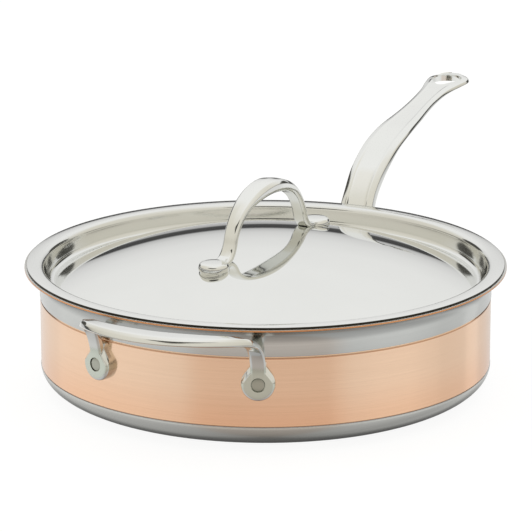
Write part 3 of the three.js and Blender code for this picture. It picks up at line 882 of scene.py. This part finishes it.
def finishes():
    groups = {"brush": turned_brush_group(), "seam_shade": seam_shade_group(), "polish": polish_group()}
    return {
        "copper": brushed(
            "brushed_copper", groups, (0.905, 0.645, 0.462), (0.885, 0.62, 0.437), 0.19,
            # Painted shade: darker copper along the seam under the band and at the base's edge, and
            # a darker, deeper orange along the exposed lip
            [(BAND_BOTTOM - 1.1, 0.5, (0.60, 0.34, 0.20)), (CORNER_HEIGHT, 0.5, (0.62, 0.44, 0.33)),
             # Painted shade: the last colour darkens and warms the copper towards its foot
             (LIP_COPPER + 0.5, 1.1, (0.76, 0.37, 0.17))], (0.985, 0.87, 0.80)),
        "band": brushed("band_steel", groups, (0.60, 0.61, 0.59), (0.57, 0.58, 0.56), 0.17),
        "base": brushed(
            "base_steel", groups, (0.60, 0.60, 0.57), (0.57, 0.57, 0.54), 0.24,
            # Painted shade: a darker steel tone along the groove at the base's rolled edge
            [(CORNER_HEIGHT, 0.3, (0.46, 0.45, 0.43))]),
        "liner": brushed("liner_steel", groups, (0.68, 0.67, 0.63), (0.56, 0.55, 0.51), 0.30),
        "core": brushed("core_aluminium", groups, (0.74, 0.75, 0.77), (0.66, 0.67, 0.69), 0.45),
        "mirror": mirror_steel(groups),
        "cast": cast_steel(groups),
        # Rivets: their steel painted darker than the handles' as painted shade, for the shade in
        # their sunk seats
        "rivet": polished("rivet_steel", groups, (0.45, 0.46, 0.39), 0.32, 2.5, 0.05, 0.08)[0],
    }


# ---------------------------------------------------------------------------------------------
# The room: a pale floor, a studio of soft panels, and the camera
# ---------------------------------------------------------------------------------------------

CAMERA_PLACE = (-1.7237, -0.7319, 0.5931)
CAMERA_TILT = radians(74.39)
CAMERA_TURN = radians(-67)
CAMERA_LENS = 228.52
CAMERA_FILM = 36
FLOOR_RADIUS, FLOOR_DROP = 12, 0.2  # metres, millimetres
FLOOR_GLOW, FLOOR_TONE = 0.88, 0.20

# The studio by direction. Azimuth is counted from where the camera stands, and height from the
# horizon, in degrees; tones are 1 for the brightest panel.
LOW_PANELS = (  # by azimuth, a little below the horizon
    (-180, 0.80), (-165, 0.84), (-131, 0.90), (-129, 0.96), (-100, 0.98), (-64, 0.94),
    (-50, 0.90), (-41, 0.87), (-39, 0.84), (-28, 0.81), (-14, 0.79), (14, 0.79), (33, 0.79),
    (35, 0.84), (60, 0.94), (78, 0.94), (88, 0.88), (98, 0.84), (100, 0.80), (122, 0.80),
    (124, 0.92), (137, 0.92), (139, 0.79), (160, 0.76), (180, 0.80))
LOW_NEAR = (  # share of the low panel's tone left at each height, on the camera's side
    (-90, 0.36), (-65, 0.55), (-45, 0.64), (-33, 0.74), (-20, 1.0), (-8, 1.0), (-3, 0.72), (0, 0.6))
LOW_FAR = (  # and on the side away from it
    (-90, 0.19), (-64, 0.22), (-53, 0.12), (-34, 0.14), (-26, 0.42), (-19, 1.0), (-9, 1.0),
    (-3, 0.64), (0, 0.52))
HIGH_FAR = (  # tones above the horizon by height, away from the camera
    (0, 0.30), (1.2, 0.08), (5.2, 0.06), (6.6, 0.56), (10, 0.74), (15, 0.85), (22, 0.93),
    (34, 0.98), (48, 1.0))
HIGH_NEAR = (  # and on the camera's side, where the room is warmer
    (0, 0.08), (3.8, 0.08), (5.6, (0.58, 0.55, 0.49)), (11, (0.72, 0.69, 0.61)),
    (22, (0.79, 0.76, 0.68)), (42, (0.82, 0.79, 0.71)), (55, (0.87, 0.85, 0.79)),
    (68, (0.96, 0.94, 0.90)), (82, 1.0))
STAND = (-14, 42.5, 40, 9.5)  # the dark of the camera's stand: azimuth, height and their spreads
POSTS = (140, 11, 13, 9)  # and of two posts behind the pan, one each side
SHADE = (0.08, 0.078, 0.07, 1)
WHITE = (1, 1, 1, 1)
# How far off the camera's direction each side's panels give way to the other's, from far to near
WARM_SIDE, LOW_SIDE, HIGH_SIDE = (46, 30), (166, 132), (150, 112)
HORIZON = (-0.3, 0.3)


def ramp(nodes, value, low, high, stops):
    """A colour ramp over a range; each stop is (place in the range, tone or colour)."""
    share = nodes.add("ShaderNodeMapRange", {0: value, 1: low, 2: high}).outputs[0]
    node = nodes.add("ShaderNodeValToRGB", {0: share})
    elements = node.color_ramp.elements
    while len(elements) < len(stops):
        elements.new(0.5)
    for element, (place, tone) in zip(elements, stops):
        element.position = (place - low) / (high - low)
        element.color = (tone, tone, tone, 1) if isinstance(tone, float) else tone + (1,)
    return node.outputs[0]


def studio():
    """Soft panels all round, dimmer and warmer on the camera's side, over a dark line of horizon,
    with the dark of the camera's stand; seen directly, the room is plain white."""
    world = bpy.data.worlds.new("studio")
    bpy.context.scene.world = world
    world.use_nodes = True
    tree = world.node_tree
    tree.nodes.clear()
    nodes = Nodes(tree)
    direction = nodes.add("ShaderNodeTexCoord").outputs["Generated"]
    faced = nodes.add("ShaderNodeVectorRotate", {"Vector": direction}, rotation_type="Z_AXIS")
    faced.inputs["Angle"].default_value = -atan2(CAMERA_PLACE[1], CAMERA_PLACE[0])
    x, y, z = nodes.add("ShaderNodeSeparateXYZ", {0: faced.outputs[0]}).outputs
    azimuth = nodes.math("MULTIPLY", nodes.math("ARCTAN2", y, x), degrees(1))
    height = nodes.math("MULTIPLY", nodes.math("ARCSINE", z), degrees(1))
    off_camera = nodes.math("ABSOLUTE", azimuth)
    low = ramp(nodes, azimuth, -180, 180, LOW_PANELS)
    warm = nodes.blend(nodes.between(off_camera, *WARM_SIDE), WHITE, (0.98, 0.885, 0.82, 1))
    far, near = (ramp(nodes, height, -90, 0, stops) for stops in (LOW_FAR, LOW_NEAR))
    depth = nodes.blend(nodes.between(off_camera, *LOW_SIDE), far, near)
    low = nodes.tint(nodes.tint(low, warm), depth)
    far, near = (ramp(nodes, height, 0, 90, stops) for stops in (HIGH_FAR, HIGH_NEAR))
    high = nodes.blend(nodes.between(off_camera, *HIGH_SIDE), far, near)
    for turn, (across, upward, wide, tall) in ((azimuth, STAND), (off_camera, POSTS)):
        aside = nodes.math("DIVIDE", nodes.math("SUBTRACT", turn, across), wide)
        above = nodes.math("DIVIDE", nodes.math("SUBTRACT", height, upward), tall)
        away = nodes.math("ADD", nodes.math("POWER", aside, 2), nodes.math("POWER", above, 2))
        high = nodes.blend(nodes.between(away, 1.2, 0.8), high, SHADE)
    seen = nodes.blend(nodes.between(height, *HORIZON), low, high)
    camera_ray = nodes.add("ShaderNodeLightPath").outputs["Is Camera Ray"]
    seen = nodes.blend(camera_ray, seen, WHITE)
    background = nodes.add("ShaderNodeBackground", {"Color": seen, "Strength": 1.0})
    output = nodes.add("ShaderNodeOutputWorld")
    nodes.feed(output, "Surface", background.outputs[0])


def floor():
    """A wide pale floor that takes only a faint contact shadow and leaves reflections clear."""
    clear_selection()
    bpy.ops.mesh.primitive_circle_add(
        vertices=96, radius=FLOOR_RADIUS, fill_type="NGON", location=(0, 0, 0))
    surface = bpy.context.object
    surface.name = "floor"
    surface.data.transform(Matrix.Translation((0, 0, -FLOOR_DROP * MM)))
    surface.visible_glossy = False
    material = bpy.data.materials.new("pale_floor")
    material.use_nodes = True
    nodes = Nodes(material.node_tree)
    material.node_tree.nodes.clear()
    glow = nodes.add("ShaderNodeEmission", {"Color": WHITE, "Strength": FLOOR_GLOW})
    matt = nodes.add("ShaderNodeBsdfDiffuse", {"Color": (FLOOR_TONE, FLOOR_TONE, FLOOR_TONE, 1)})
    both = nodes.add("ShaderNodeAddShader", {0: glow.outputs[0], 1: matt.outputs[0]})
    nodes.feed(nodes.add("ShaderNodeOutputMaterial"), "Surface", both.outputs[0])
    surface.data.materials.append(material)


def camera():
    data = bpy.data.cameras.new("camera")
    data.lens = CAMERA_LENS
    data.sensor_width = CAMERA_FILM
    data.clip_start, data.clip_end = 0.01, 50
    holder = bpy.data.objects.new("camera", data)
    holder.location = CAMERA_PLACE
    holder.rotation_euler = (CAMERA_TILT, 0, CAMERA_TURN)
    bpy.context.scene.collection.objects.link(holder)
    bpy.context.scene.camera = holder


# ---------------------------------------------------------------------------------------------
# Putting it together
# ---------------------------------------------------------------------------------------------

def build_pan(finish):
    settle(base_shell(), "pan", finish["base"], "base_steel", "base_steel_shell")
    settle(copper_skin(), "pan", finish["copper"], "copper", "copper_ply")
    settle(core(), "pan", finish["core"], "core_aluminium", "aluminium_core")
    settle(liner(), "pan", finish["liner"], "liner_steel", "inner_steel_liner")
    settle(band(), "pan", finish["band"], "band_steel", "upper_steel_band")
    settle(long_handle(), "pan", finish["cast"], "cast_steel", "long_handle")
    settle(helper_handle(), "pan", finish["cast"], "cast_steel", "helper_handle")
    pad_rivet = rivet("pad_rivet", PAD_FACE)
    lug_rivet = rivet("lug_rivet", LUG_FACE)
    for i, (across, height) in enumerate(PAD_RIVETS, 1):
        piece = copy_of(pad_rivet, f"pad_rivet_{i}")
        pointed_out(piece, 0, height, across)
        settle(piece, "pan", finish["rivet"], "rivet_steel", f"long_handle_rivet_{i}")
    for i, side in enumerate((-1, 1), 1):
        piece = copy_of(lug_rivet, f"lug_rivet_{i}")
        pointed_out(piece, pi + side * LUG_TURN, LUG_HEIGHT)
        settle(piece, "pan", finish["rivet"], "rivet_steel", f"helper_handle_rivet_{i}")
    for pattern in (pad_rivet, lug_rivet):
        bpy.data.objects.remove(pattern)


def build_lid(finish):
    settle(lid_sheet(), "lid", finish["mirror"], "lid_steel", "lid_shell")
    settle(lid_handle(), "lid", finish["cast"], "cast_steel", "lid_handle")
    for i, side in enumerate((-1, 1), 1):
        piece = lid_rivet(f"lid_rivet_{i}", side)
        settle(piece, "lid", finish["rivet"], "rivet_steel", f"lid_handle_rivet_{i}")


camera()
studio()
floor()
bpy.context.scene.view_settings.view_transform = "Standard"
surface_finishes = finishes()
build_pan(surface_finishes)
build_lid(surface_finishes)
